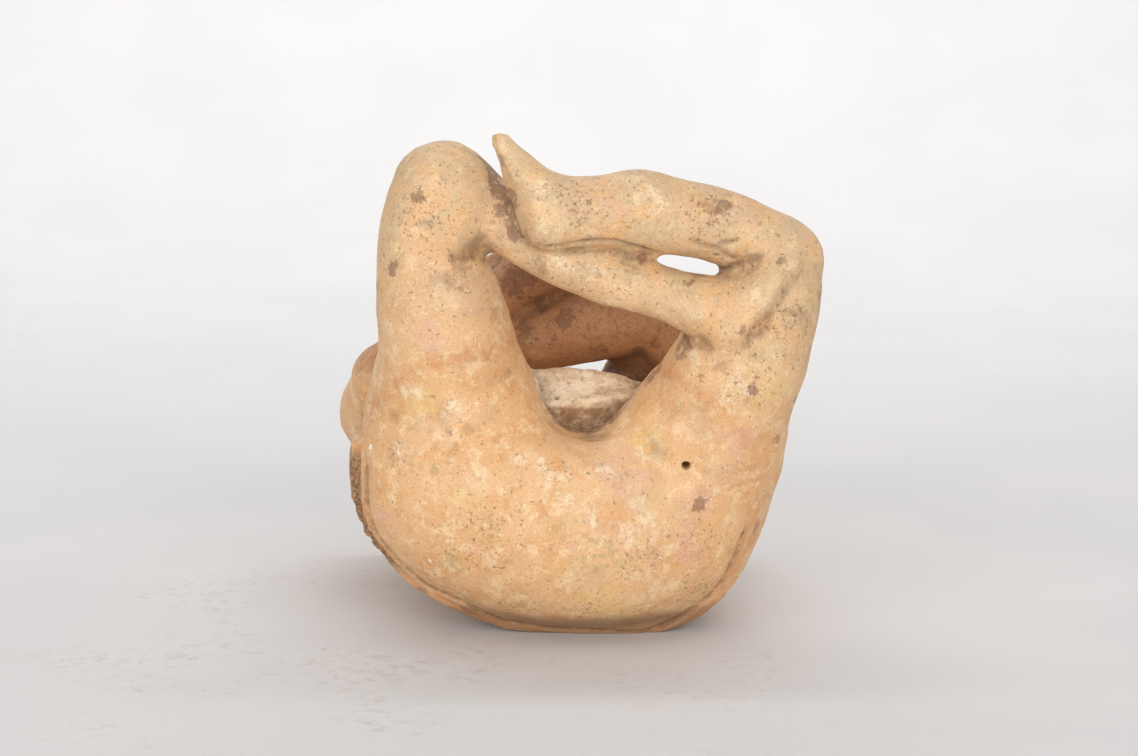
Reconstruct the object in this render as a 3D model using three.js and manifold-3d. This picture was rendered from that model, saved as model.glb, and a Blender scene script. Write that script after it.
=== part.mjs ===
// A hollow fired-clay figure of a seated, cross-legged person, lying on its back.
// Millimetres. +X is to the right as one looks at the underside of the seat, +Y runs from the
// seat to the crown of the head, and +Z is up, from the figure's back to its knees.
// The figure is one closed body. It is described by a field of smooth, blended limbs, which is
// turned into triangles, thinned where the form is plain, and then cut flat where it rests.
import * as THREE from "three";
import Module from "manifold-3d";
import { mergeVertices } from "three/addons/utils/BufferGeometryUtils.js";

// Driving dimensions
const figureHeight = 305; // seat to crown
const ventBore = 3.9; // firing vent in the right buttock
const ventDepth = 14;
const restCut = 4.8; // depth of the worn flat that the figure lies on
const leanDegrees = 10.5; // turn about the seat-to-crown line, right side down
const meshStep = 3.5; // spacing of the sampling grid
const triangleBudget = 9700;

// Every place and radius of the figure is a share of its height, written at a height of 305.
const unit = figureHeight / 305;
const at = (x, y, z) => new THREE.Vector3(x, y, z).multiplyScalar(unit);

// Joints and landmarks of the pose, in the figure's own upright-on-its-back frame, where z = 0 is
// the back of the cape.
const pose = {
  hip: { left: at(-50, 64, 82), right: at(62, 62, 84) },
  midThigh: { left: at(-63, 36, 137), right: at(72.5, 34, 140) },
  lowThigh: { left: at(-77.5, 30, 172), right: at(80.5, 29, 172) },
  knee: { left: at(-74.5, 31, 198.5), right: at(81, 30, 195) },
  ankle: { left: at(-22, 12, 202), right: at(50, 17, 171) },
  heel: { left: at(-25, 10, 198), right: at(66, 11, 164) },
  toe: { left: at(-52.5, 8, 228), right: at(86, 10, 198) },
  shoulder: { left: at(-80, 200, 52), right: at(78, 200, 50) },
  elbow: { left: at(-89, 122, 94), right: at(62, 119, 124) },
  hand: { left: at(0, 115, 184), right: at(-55, 115, 110) },
  neck: at(0, 226, 48),
  head: at(0, 258, 48),
};

// Smooth union of two distances, rounded over about the width k.
function blend(a, b, k) {
  const h = Math.max(k - Math.abs(a - b), 0) / k;
  return Math.min(a, b) - (h * h * k) / 4;
}

// Smooth cut of the solid a by the solid b.
function carve(a, b, k) {
  return -blend(-a, b, k);
}

// Distance to a ball-ended bar whose radius runs from ra to rb.
function barDistance(p, a, b, ra, rb) {
  const dx = b.x - a.x, dy = b.y - a.y, dz = b.z - a.z;
  const px = p.x - a.x, py = p.y - a.y, pz = p.z - a.z;
  const length2 = dx * dx + dy * dy + dz * dz;
  const t = Math.min(1, Math.max(0, (px * dx + py * dy + pz * dz) / length2));
  return Math.hypot(px - t * dx, py - t * dy, pz - t * dz) - (ra + t * (rb - ra));
}

// A limb is a smooth curve through a few stations, each a place and a radius.
function limb(stations, pieces = 4) {
  const curve = new THREE.CatmullRomCurve3(stations.map((s) => s[0]), false, "centripetal");
  const spans = (stations.length - 1) * pieces;
  const points = [], radii = [];
  for (let i = 0; i <= spans; i++) {
    const place = i / pieces;
    const from = Math.min(Math.floor(place), stations.length - 2);
    const ease = THREE.MathUtils.smoothstep(place - from, 0, 1);
    points.push(curve.getPoint(i / spans));
    radii.push(THREE.MathUtils.lerp(stations[from][1], stations[from + 1][1], ease) * unit);
  }
  const box = new THREE.Box3().setFromPoints(points).expandByScalar(Math.max(...radii));
  return (p) => {
    const away = box.distanceToPoint(p);
    if (away > 30 * unit) return away;
    let best = Infinity;
    for (let i = 0; i < spans; i++) {
      best = Math.min(best, barDistance(p, points[i], points[i + 1], radii[i], radii[i + 1]));
    }
    return best;
  };
}

// Approximate distance to an ellipsoid.
function ellipsoid(centre, rx, ry, rz) {
  const size = new THREE.Vector3(rx, ry, rz).multiplyScalar(unit);
  return (p) => {
    const x = (p.x - centre.x) / size.x;
    const y = (p.y - centre.y) / size.y;
    const z = (p.z - centre.z) / size.z;
    const k0 = Math.hypot(x, y, z);
    const k1 = Math.hypot(x / size.x, y / size.y, z / size.z);
    return k1 === 0 ? -Math.min(rx, ry, rz) * unit : (k0 * (k0 - 1)) / k1;
  };
}

// Distance to a body whose oval section changes along Y. Each station is y, half width, lowest z
// and highest z.
function loft(stations, squareness = 2) {
  const scaled = stations.map((s) => s.map((v) => v * unit));
  return (p) => {
    let i = 0;
    while (i < scaled.length - 2 && p.y > scaled[i + 1][0]) i++;
    const from = scaled[i], to = scaled[i + 1];
    const t = THREE.MathUtils.smoothstep(p.y, from[0], to[0]);
    const [half, low, high] = [1, 2, 3].map((n) => THREE.MathUtils.lerp(from[n], to[n], t));
    const rz = (high - low) / 2;
    const x = Math.abs(p.x) / half, z = Math.abs(p.z - (low + high) / 2) / rz;
    const ring = ((x ** squareness + z ** squareness) ** (1 / squareness) - 1) * Math.min(half, rz);
    const ends = Math.max(scaled[0][0] - p.y, p.y - scaled[scaled.length - 1][0]);
    return -blend(-ends, -ring, 6 * unit);
  };
}

// The seat, belly and chest. The seat is hollowed between the thighs, where the lap shows. A rolled
// stole hangs from the right shoulder over the forearm.
function makeTrunk() {
  const seat = ellipsoid(at(2, 48, 60), 93, 51, 55);
  const crotch = limb([[at(7, -20, 131), 32], [at(7, 44, 129), 32]], 1);
  const stole = limb([[at(42, 206, 70), 11], [at(36, 184, 82), 13], [at(33, 158, 94), 17.5],
    [at(34, 136, 110), 18.5], [at(36, 122, 122), 15]], 3);
  const chest = loft([[44, 82, 8, 88], [110, 72, 5, 92], [160, 67, 5, 86], [200, 72, 8, 80],
    [214, 52, 14, 72]]);
  const shoulders = limb([[at(-72, 198, 50), 21], [at(0, 204, 46), 24], [at(70, 198, 48), 21]], 3);
  const neck = limb([[at(0, 200, 46), 24], [pose.neck, 19], [at(0, 244, 48), 19]], 2);
  return (p) => {
    const middle = carve(blend(blend(seat(p), chest(p), 14 * unit), stole(p), 4 * unit), crotch(p), 8 * unit);
    return blend(blend(middle, shoulders(p), 12 * unit), neck(p), 12 * unit);
  };
}

// The front of the loincloth, a wedge between the thighs. Its upper face rises from a slanting
// ridge to a crisp rim, and its lower face runs from the ridge down to the crotch. Each station is
// x and the heights of the ridge and the rim there.
function makeLap() {
  const stations = [[-32, 104.5, 117.5], [-21, 105.5, 120.7], [-4, 107.9, 125.6], [8, 110.5, 127],
    [20, 116.4, 126.6], [35, 120.6, 124.2], [48, 119, 119.5]].map((s) => s.map((v) => v * unit));
  const ridgeY = 50 * unit;
  const rimY = 61 * unit;
  return (p) => {
    let i = 0;
    while (i < stations.length - 2 && p.x > stations[i + 1][0]) i++;
    const t = THREE.MathUtils.smoothstep(p.x, stations[i][0], stations[i + 1][0]);
    const [ridge, rim] = [1, 2].map((n) => THREE.MathUtils.lerp(stations[i][n], stations[i + 1][n], t));
    const rise = rim - ridge, run = rimY - ridgeY, slope = Math.hypot(rise, run);
    const upper = ((p.z - ridge) * run - (p.y - ridgeY) * rise) / slope;
    const lower = (ridgeY - p.y) * 0.94 - (p.z - ridge) * 0.34;
    const behind = (p.z - rim) * 0.9 + (p.y - rimY) * 0.44;
    const sides = Math.max(-30 * unit - p.x, p.x - 46 * unit, p.y - 84 * unit);
    const faces = -blend(-upper, -lower, 2.5 * unit);
    return Math.max(-blend(-faces, -behind, 2.5 * unit), sides);
  };
}

// One leg, from the hip over the knee and along the shin to the ankle.
function makeLeg(side, radii, shinStations) {
  const [hip, mid, low, knee] = radii;
  const thigh = limb([[pose.hip[side], hip], [pose.midThigh[side], mid], [pose.lowThigh[side], low],
    [pose.knee[side], knee]], 4);
  const shin = limb([[pose.knee[side], knee - 4], ...shinStations], 3);
  return (p) => blend(thigh(p), shin(p), 6 * unit);
}

// A foot with a flat sole, wide at the heel and drawn out to a blunt toe. The sole is a plane that
// lies heelSole under the middle of the heel and toeSole under that of the toe.
function makeFoot(side, heelRadius, toeRadius, soleFacing, heelSole, toeSole) {
  const ankle = pose.ankle[side], heel = pose.heel[side], toe = pose.toe[side];
  const bridge = heel.clone().lerp(toe, 0.5);
  const foot = limb([[heel, heelRadius], [bridge, (heelRadius + toeRadius) / 2 + 1], [toe, toeRadius]], 4);
  const instep = limb([[ankle, heelRadius], [bridge, toeRadius + 2]], 2);
  const along = toe.clone().sub(heel);
  const length = along.length();
  along.normalize();
  const normal = soleFacing.clone().addScaledVector(along, -soleFacing.dot(along)).normalize();
  return (p) => {
    const fromHeel = p.clone().sub(heel);
    const sole = THREE.MathUtils.lerp(heelSole, toeSole, fromHeel.dot(along) / length) * unit;
    const form = blend(foot(p), instep(p), 7 * unit);
    return carve(form, sole - fromHeel.dot(normal), 2 * unit);
  };
}

// An arm, from the shoulder over the elbow to a closed hand.
function makeArm(side, upper, fore) {
  const upperArm = limb([[pose.shoulder[side], 20], ...upper, [pose.elbow[side], 17]], 4);
  const foreArm = limb([[pose.elbow[side], 16], ...fore, [pose.hand[side], 15.5]], 4);
  return (p) => blend(upperArm(p), foreArm(p), 8 * unit);
}

// The head: a round skull with a calm, plain face, a fitted cap and a pair of ear discs.
function makeHead() {
  const c = pose.head;
  const skull = ellipsoid(c, 34, 39, 38);
  const jaw = ellipsoid(at(0, 241, 58), 25, 20, 25);
  const nose = limb([[at(0, 266, 83), 4], [at(0, 256, 89), 5.5], [at(0, 249, 90), 6.5]], 3);
  const brow = limb([[at(-21, 267, 76), 4], [at(0, 268, 82), 4.5], [at(21, 267, 76), 4]], 3);
  const lips = limb([[at(-10, 239, 79), 3.2], [at(0, 239, 82.5), 4.2], [at(10, 239, 79), 3.2]], 3);
  const chin = ellipsoid(at(0, 229, 74), 9, 7, 8);
  const eyes = [-1, 1].map((s) => ellipsoid(at(s * 14, 259, 78), 8, 4.2, 5));
  const sockets = [-1, 1].map((s) => ellipsoid(at(s * 14, 259, 85), 10, 6.5, 7));
  const ears = [-1, 1].map((s) => limb([[at(s * 33, 262, 44), 6], [at(s * 35, 250, 45), 7.5]], 2));
  const discs = [-1, 1].map((s) => ellipsoid(at(s * 37, 243, 46), 6, 9, 9));
  const capBand = limb([[at(-33, 273, 44), 5], [at(-19, 274, 75), 5], [at(0, 275, 82), 5],
    [at(19, 274, 75), 5], [at(33, 273, 44), 5]], 3);
  const cap = ellipsoid(at(0, 266, 45), 36, 38, 38);
  return (p) => {
    let d = blend(skull(p), jaw(p), 12 * unit);
    sockets.forEach((socket) => (d = carve(d, socket(p), 4 * unit)));
    eyes.forEach((eye) => (d = blend(d, eye(p), 1.5 * unit)));
    d = blend(d, brow(p), 5 * unit);
    d = blend(d, nose(p), 3.5 * unit);
    d = blend(d, lips(p), 2.5 * unit);
    d = blend(d, chin(p), 6 * unit);
    ears.forEach((ear, i) => (d = blend(blend(d, ear(p), 3 * unit), discs[i](p), 2 * unit)));
    const overBand = Math.max(cap(p), 273 * unit - p.y);
    return blend(blend(d, overBand, 2 * unit), capBand(p), 2 * unit);
  };
}

// The cape that lies under the back: its hem wraps the seat from side to side as a raised lip, and
// its top lies on the shoulders. The hem is squarer on the right.
function makeCape() {
  const stations = [[41, 98, -2, 142], [56, 98, -2, 144], [110, 95, -1, 112], [170, 90, 0, 92],
    [206, 82, 4, 84], [222, 44, 12, 74]];
  const round = loft(stations, 2.05);
  const square = loft(stations, 2.5);
  return (p) => Math.max(p.x < 0 ? round(p) : square(p), p.z - 74 * unit);
}

function makeField() {
  const trunk = makeTrunk();
  const lap = makeLap();
  const cape = makeCape();
  const head = makeHead();
  const leftLeg = makeLeg("left", [43, 31, 22.8, 24.2], [[at(-50, 32, 194), 15.5], [at(-22, 29, 181.5), 13.5],
    [at(5, 25.5, 176.2), 14.1], [at(28, 22, 173.5), 12.3], [pose.ankle.right, 12.6]]);
  const rightLeg = makeLeg("right", [43, 31.5, 25, 22], [[at(67, 27, 204), 17.2], [at(48, 23, 208), 17],
    [at(31, 21.5, 208.2), 17.6], [at(14, 20, 208.3), 18.5], [at(-4, 16, 204.5), 16.2],
    [pose.ankle.left, 15.5]]);
  const leftFoot = makeFoot("left", 13, 5, new THREE.Vector3(-0.8, -0.5, -0.3), 10, 3.5);
  const rightFoot = makeFoot("right", 12.5, 6, new THREE.Vector3(0.86, -0.35, -0.5), 8.5, 4.5);
  const leftArm = makeArm("left", [[at(-92, 160, 68), 20]],
    [[at(-60, 121, 125), 20], [at(-38, 119, 152), 18.5],
    [at(-13, 116, 173), 15.5]]);
  const rightArm = makeArm("right",
    [[at(66, 166, 86), 21], [at(53, 141, 107), 21.5]], [[at(36, 115, 147), 18.5],
    [at(10, 115, 142.3), 19.5], [at(-14, 115, 130.5), 17], [at(-35, 115, 120), 12.8]]);
  return (p) => {
    const rightSide = blend(rightLeg(p), leftFoot(p), 7 * unit);
    const leftSide = blend(leftLeg(p), rightFoot(p), 7 * unit);
    const legs = blend(leftSide, rightSide, 2.5 * unit);
    const arms = blend(leftArm(p), rightArm(p), 3 * unit);
    let d = blend(trunk(p), legs, 16 * unit);
    d = blend(d, lap(p), 2 * unit);
    d = blend(d, cape(p), 3 * unit);
    d = blend(d, arms, 5 * unit);
    return blend(d, head(p), 5 * unit);
  };
}

// Turns the field into triangles: each grid cube is split into six corner-to-corner tetrahedra,
// so that neighbouring cubes always meet edge to edge. Blocks of cubes that lie well inside or
// outside are passed over.
function polygonise(field, box, step) {
  const block = 4;
  const blocks = box.getSize(new THREE.Vector3()).divideScalar(step * block).ceil();
  const [nx, ny, nz] = blocks.toArray().map((n) => n * block + 1);
  const strides = [1, nx, nx * ny];
  const values = new Float32Array(nx * ny * nz).fill(NaN);
  const p = new THREE.Vector3();
  const nudge = step * 0.08;
  const sample = (i, j, k) => {
    const n = i + j * strides[1] + k * strides[2];
    if (Number.isNaN(values[n])) {
      const v = field(p.set(i, j, k).multiplyScalar(step).add(box.min));
      values[n] = Math.abs(v) < nudge ? (v < 0 ? -nudge : nudge) : v;
    }
    return n;
  };
  const corners = [0, 1, 2, 3, 4, 5, 6, 7];
  const offsets = corners.map((n) => (n & 1) + ((n >> 1) & 1) * strides[1] + (n >> 2) * strides[2]);
  const kindOf = new Map(offsets.map((offset, n) => [offset, n]));
  const orders = [[1, 3, 7], [3, 2, 7], [2, 6, 7], [6, 4, 7], [4, 5, 7], [5, 1, 7]];
  const points = [], faces = [], onEdge = new Map();
  const place = (n) => [n % nx, Math.floor(n / nx) % ny, Math.floor(n / strides[2])];
  const crossing = (a, b) => {
    const low = Math.min(a, b), high = Math.max(a, b);
    const key = low * 8 + kindOf.get(high - low);
    let found = onEdge.get(key);
    if (found === undefined) {
      const t = values[low] / (values[low] - values[high]);
      const from = place(low), to = place(high);
      const spot = from.map((v, axis) => (v + t * (to[axis] - v)) * step + box.min.getComponent(axis));
      found = points.push(spot) - 1;
      onEdge.set(key, found);
    }
    return found;
  };
  const addCube = (i, j, k) => {
    const base = sample(i, j, k);
    let solid = 0;
    for (const n of corners) {
      const corner = sample(i + (n & 1), j + ((n >> 1) & 1), k + (n >> 2));
      solid += values[corner] < 0 ? 1 : 0;
    }
    if (solid === 0 || solid === 8) return;
    for (const [b, c, d] of orders) {
      const tetrahedron = [base, base + offsets[b], base + offsets[c], base + offsets[d]];
      addTetrahedron(tetrahedron, values, crossing, faces);
    }
  };
  const reach = block * step * 1.6;
  for (let k = 0; k < nz - 1; k += block) {
    for (let j = 0; j < ny - 1; j += block) {
      for (let i = 0; i < nx - 1; i += block) {
        const middle = field(p.set(i, j, k).addScalar(block / 2).multiplyScalar(step).add(box.min));
        if (Math.abs(middle) > reach) continue;
        for (let n = 0; n < block ** 3; n++) {
          addCube(i + (n % block), j + (Math.floor(n / block) % block), k + Math.floor(n / block ** 2));
        }
      }
    }
  }
  return { points, faces };
}

// Adds the one or two triangles where the surface crosses a tetrahedron, facing out.
function addTetrahedron(ids, values, crossing, faces) {
  const inside = ids.filter((n) => values[n] < 0);
  const outside = ids.filter((n) => values[n] >= 0);
  if (!inside.length || !outside.length) return;
  const parity = permutationSign(ids, [...inside, ...outside]);
  let ring;
  if (inside.length === 1) ring = outside.map((n) => crossing(inside[0], n));
  if (inside.length === 3) ring = inside.map((n) => crossing(n, outside[0]));
  if (inside.length === 2) {
    const [a, b] = inside;
    const [c, d] = outside;
    ring = [crossing(a, c), crossing(a, d), crossing(b, d), crossing(b, c)];
  }
  if (parity < 0) ring.reverse();
  faces.push([ring[0], ring[1], ring[2]]);
  if (ring.length === 4) faces.push([ring[0], ring[2], ring[3]]);
}

function permutationSign(from, to) {
  const order = to.map((n) => from.indexOf(n));
  let sign = 1;
  for (let i = 0; i < order.length; i++) {
    for (let j = i + 1; j < order.length; j++) if (order[i] > order[j]) sign = -sign;
  }
  return sign;
}

// A binary heap of items with a cost, cheapest first.
class Heap {
  items = [];

  push(item) {
    const a = this.items;
    let i = a.push(item) - 1;
    while (i > 0) {
      const parent = (i - 1) >> 1;
      if (a[parent].cost <= item.cost) break;
      a[i] = a[parent];
      i = parent;
    }
    a[i] = item;
  }

  pop() {
    const a = this.items, top = a[0], last = a.pop();
    if (!a.length) return top;
    let i = 0;
    for (let child = 1; child < a.length; child = 2 * i + 1) {
      if (child + 1 < a.length && a[child + 1].cost < a[child].cost) child++;
      if (last.cost <= a[child].cost) break;
      a[i] = a[child];
      i = child;
    }
    a[i] = last;
    return top;
  }
}

// Twice the area of a triangle as a vector along its normal.
function crossOf(a, b, c) {
  const ux = b[0] - a[0], uy = b[1] - a[1], uz = b[2] - a[2];
  const vx = c[0] - a[0], vy = c[1] - a[1], vz = c[2] - a[2];
  return [uy * vz - uz * vy, uz * vx - ux * vz, ux * vy - uy * vx];
}

// The squared distance to a triangle's plane, weighted by area, as the ten numbers of a quadric.
function planeQuadric(a, b, c) {
  const [nx, ny, nz] = crossOf(a, b, c);
  const area = Math.hypot(nx, ny, nz) || 1e-12;
  const x = nx / area, y = ny / area, z = nz / area, w = -(x * a[0] + y * a[1] + z * a[2]);
  const sums = Float64Array.of(x * x, x * y, x * z, x * w, y * y, y * z, y * w, z * z, z * w, w * w);
  return sums.map((v) => v * area);
}

function quadricCost(q, [x, y, z]) {
  return q[0] * x * x + 2 * q[1] * x * y + 2 * q[2] * x * z + 2 * q[3] * x
    + q[4] * y * y + 2 * q[5] * y * z + 2 * q[6] * y + q[7] * z * z + 2 * q[8] * z + q[9];
}

// The place where a quadric is least, or null where it has no clear minimum.
function quadricMinimum([xx, xy, xz, xw, yy, yz, yw, zz, zw]) {
  const a = yy * zz - yz * yz, b = xz * yz - xy * zz, c = xy * yz - xz * yy;
  const det = xx * a + xy * b + xz * c;
  if (Math.abs(det) < 1e-4 * (xx + yy + zz) ** 3) return null;
  const d = xx * zz - xz * xz, e = xy * xz - xx * yz, f = xx * yy - xy * xy;
  const sums = [a * xw + b * yw + c * zw, b * xw + d * yw + e * zw, c * xw + e * yw + f * zw];
  return sums.map((sum) => -sum / det);
}

// Thins the triangles by collapsing the edges whose loss changes the form least. A collapse is
// skipped where it would pinch the surface or turn a face over.
function thin({ points, faces }, budget) {
  const facesOf = points.map(() => []);
  const quadrics = points.map(() => new Float64Array(10));
  faces.forEach((f, i) => {
    const q = planeQuadric(points[f[0]], points[f[1]], points[f[2]]);
    for (const v of f) {
      facesOf[v].push(i);
      for (let n = 0; n < 10; n++) quadrics[v][n] += q[n];
    }
  });
  const version = new Int32Array(points.length);
  const heap = new Heap();
  const neighbours = (v) => {
    const found = [];
    for (const i of facesOf[v]) for (const w of faces[i]) if (w !== v && !found.includes(w)) found.push(w);
    return found;
  };
  const consider = (a, b) => {
    const p = points[a], r = points[b], q = quadrics[a].map((value, n) => value + quadrics[b][n]);
    const middle = [(p[0] + r[0]) / 2, (p[1] + r[1]) / 2, (p[2] + r[2]) / 2];
    const span = Math.hypot(p[0] - r[0], p[1] - r[1], p[2] - r[2]);
    const least = quadricMinimum(q);
    const shift = least ? Math.hypot(...least.map((value, axis) => value - middle[axis])) : Infinity;
    const far = shift > 2 * span;
    const place = far ? middle : least;
    const cost = quadricCost(q, place) + 4e-4 * span * span;
    heap.push({ cost, a, b, ages: [version[a], version[b]], place, q });
  };
  const keepsFacing = (v, other, place) => {
    for (const i of facesOf[v]) {
      const f = faces[i];
      if (f.includes(other)) continue;
      const before = crossOf(points[f[0]], points[f[1]], points[f[2]]);
      const after = crossOf(...f.map((w) => (w === v ? place : points[w])));
      const dot = before[0] * after[0] + before[1] * after[1] + before[2] * after[2];
      if (dot < 0.3 * Math.hypot(...before) * Math.hypot(...after) + 1e-6) return false;
    }
    return true;
  };
  points.forEach((_, v) => neighbours(v).forEach((w) => v < w && consider(v, w)));
  let left = faces.length;
  while (left > budget && heap.items.length) {
    const { a, b, ages, place, q } = heap.pop();
    if (version[a] !== ages[0] || version[b] !== ages[1]) continue;
    const aroundB = neighbours(b);
    if (neighbours(a).filter((v) => aroundB.includes(v)).length !== 2) continue;
    if (!keepsFacing(a, b, place) || !keepsFacing(b, a, place)) continue;
    for (const i of facesOf[b]) {
      if (faces[i].includes(a)) {
        for (const v of faces[i]) if (v !== b) facesOf[v] = facesOf[v].filter((n) => n !== i);
        faces[i] = null;
        left--;
      } else {
        faces[i] = faces[i].map((v) => (v === b ? a : v));
        facesOf[a].push(i);
      }
    }
    facesOf[b] = [];
    points[a] = place;
    quadrics[a] = q;
    version[a]++;
    version[b] = -1;
    for (const w of neighbours(a)) consider(a, w);
  }
  return { points, faces: faces.filter(Boolean) };
}

function toGeometry({ points, faces }) {
  const used = new Map();
  faces.flat().forEach((v) => used.has(v) || used.set(v, used.size));
  const geometry = new THREE.BufferGeometry();
  const flat = [...used.keys()].flatMap((v) => points[v]);
  geometry.setAttribute("position", new THREE.Float32BufferAttribute(flat, 3));
  geometry.setIndex(faces.flat().map((v) => used.get(v)));
  return geometry;
}

const wasm = await Module();
wasm.setup();

function toSolid(geometry) {
  const bare = geometry.clone();
  bare.deleteAttribute("normal");
  bare.deleteAttribute("uv");
  const merged = mergeVertices(bare, 1e-4);
  const vertProperties = new Float32Array(merged.attributes.position.array);
  const triVerts = new Uint32Array(merged.index.array);
  return new wasm.Manifold(new wasm.Mesh({ numProp: 3, vertProperties, triVerts }));
}

function fromSolid(solid) {
  const mesh = solid.getMesh();
  const geometry = new THREE.BufferGeometry();
  geometry.setAttribute("position", new THREE.BufferAttribute(mesh.vertProperties, 3));
  geometry.setIndex(new THREE.BufferAttribute(mesh.triVerts, 1));
  geometry.computeVertexNormals();
  return geometry;
}

// Models the figure, leans it, and cuts the worn flat that it lies on and the vent.
function makeFigure() {
  const field = makeField();
  const box = new THREE.Box3(at(-120, -12, -8), at(120, 314, 244));
  const geometry = toGeometry(thin(polygonise(field, box, meshStep), triangleBudget));
  const lean = THREE.MathUtils.degToRad(leanDegrees);
  const ventPlace = at(56.4, 0, 95.5);
  while (field(ventPlace) > 0) ventPlace.y += 0.5;
  const vent = new THREE.CylinderGeometry(ventBore / 2, ventBore / 2, 2 * ventDepth, 16);
  vent.translate(...ventPlace.toArray());
  geometry.rotateY(lean);
  vent.rotateY(lean);
  geometry.computeBoundingBox();
  const floor = new THREE.BoxGeometry(2 * figureHeight, 3 * figureHeight, figureHeight);
  floor.translate(0, figureHeight / 2, geometry.boundingBox.min.z + restCut - figureHeight / 2);
  const cut = fromSolid(toSolid(geometry).subtract(toSolid(floor)).subtract(toSolid(vent)));
  cut.computeBoundingBox();
  const { min, max } = cut.boundingBox;
  cut.translate(-(min.x + max.x) / 2, -(min.y + max.y) / 2, -min.z);
  return cut;
}

const clay = new THREE.MeshStandardMaterial({ color: 0xd9ab77, roughness: 0.62, metalness: 0 });
const figurine = new THREE.Group();
const seatedFigure = new THREE.Mesh(makeFigure(), clay);
seatedFigure.name = "seated_figure";
figurine.add(seatedFigure);

export default figurine;
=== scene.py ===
"""A hollow fired-clay figure of a cross-legged seated person, lying on its back.

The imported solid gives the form. Here it becomes one fine burnished-clay surface with its hem, chips,
soles, fingers, face and firing vent, and a material with slip, bloom, film, specks and soil.
"""

import math

import bmesh
import bpy
import numpy as np
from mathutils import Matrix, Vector, noise
from mathutils.bvhtree import BVHTree

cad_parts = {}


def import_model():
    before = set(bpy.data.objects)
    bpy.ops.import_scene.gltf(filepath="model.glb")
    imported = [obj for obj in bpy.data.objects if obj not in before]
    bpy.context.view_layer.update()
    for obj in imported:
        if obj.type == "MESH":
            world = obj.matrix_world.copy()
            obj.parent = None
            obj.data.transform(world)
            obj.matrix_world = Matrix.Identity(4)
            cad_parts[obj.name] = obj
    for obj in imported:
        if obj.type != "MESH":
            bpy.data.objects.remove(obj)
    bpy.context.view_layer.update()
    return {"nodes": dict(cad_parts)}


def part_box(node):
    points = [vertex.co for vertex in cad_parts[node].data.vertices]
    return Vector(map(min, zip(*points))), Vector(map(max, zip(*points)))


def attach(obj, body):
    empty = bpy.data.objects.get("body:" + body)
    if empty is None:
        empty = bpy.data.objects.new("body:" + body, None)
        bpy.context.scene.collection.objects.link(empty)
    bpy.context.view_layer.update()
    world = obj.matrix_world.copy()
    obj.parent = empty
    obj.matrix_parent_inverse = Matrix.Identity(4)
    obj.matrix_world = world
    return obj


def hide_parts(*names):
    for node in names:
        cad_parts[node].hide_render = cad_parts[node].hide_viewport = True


MM = 0.001

# The photograph's frame and the camera that took it
PHOTO_SIZE = (1138, 756)
CAMERA_ELEVATION = math.radians(9)
CAMERA_DISTANCE = 1.1
PIXEL_AT_TARGET = 0.45 * MM
SENSOR = 36.0
TARGET_FROM_SEAT = (0.85 * MM, 5.45 * MM, 129.5 * MM)

# How the figure's own upright frame lies in the row's frame
LEAN = math.radians(10.5)
FIGURE_SHIFT = (19.69, 149.17, -1.3)

# The fine surface
VOXEL = 2.2 * MM
SMOOTH_ROUNDS = 6
VENT_RADIUS = 2.0 * MM
VENT_DEPTH = 14 * MM
VENT_PIXEL = (687.4, 467.3)

# The relief, in millimetres
CREASE_DEPTH = 2.6
CRACK_DEPTH = 1.1
SMEAR_HEIGHT = 0.9
PIT_DEPTH = 2.0
NICK_DEPTH = 3.5

# The lap's wedge in the figure's own frame: its ridge and rim along x
LAP_STATIONS = [-32, -21, -4, 8, 20, 35, 48]
LAP_RIDGE = [104.5, 105.5, 107.9, 110.5, 116.4, 120.6, 119]
LAP_RIM = [117.5, 120.7, 125.6, 127, 126.6, 124.2, 119.5]

# The middle line of the rolled cloth on the chest, in the figure's own frame
STOLE_LINE = [(42, 206, 70), (36, 184, 82), (33, 158, 94), (34, 136, 110), (36, 122, 122)]

# Light
WORLD_STRENGTH = 0.43

# Places on the photograph, in its pixels, with a radius in millimetres
YELLOW_PATCHES = [(458, 212, 13), (618, 266, 13), (610, 212, 12), (560, 290, 8), (775, 385, 12),
                  (668, 285, 8), (745, 232, 9), (648, 440, 10), (470, 500, 11), (560, 215, 9),
                  (765, 360, 11), (600, 600, 12), (655, 500, 9), (810, 300, 7), (425, 400, 9)]
BLOOM_PATCHES = [(545, 232, 8), (590, 268, 7), (655, 200, 8), (740, 385, 8), (545, 466, 5),
                 (551, 480, 6), (562, 496, 6.5), (578, 508, 7), (594, 519, 7), (606, 529, 5),
                 (578, 262, 9), (560, 256, 7), (642, 512, 8), (604, 470, 6), (628, 536, 6),
                 (476, 478, 5), (652, 452, 7), (640, 190, 8), (690, 352, 6), (760, 300, 7),
                 (412, 395, 7), (655, 590, 8), (520, 455, 5), (404, 446, 6), (448, 410, 6),
                 (392, 328, 7), (545, 190, 7), (730, 400, 8)]
PINK_PATCHES = [(575, 202, 10), (745, 215, 11), (698, 265, 8), (800, 235, 8), (430, 335, 10),
                (570, 548, 4), (590, 521, 5), (474, 551, 5), (688, 550, 12), (505, 262, 7),
                (520, 300, 8), (385, 520, 10), (740, 440, 12), (610, 205, 9), (620, 470, 16),
                (700, 500, 13)]
FILM_PATCHES = [(600, 555, 15), (525, 600, 13), (572, 612, 12), (452, 565, 9), (640, 612, 11),
                (700, 590, 9), (409, 461, 3.5), (433, 472, 4), (466, 506, 4), (512, 506, 4),
                (408, 262, 8), (700, 400, 10), (560, 530, 6), (470, 600, 8), (735, 545, 7),
                (486, 528, 9), (790, 360, 6)]
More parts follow.
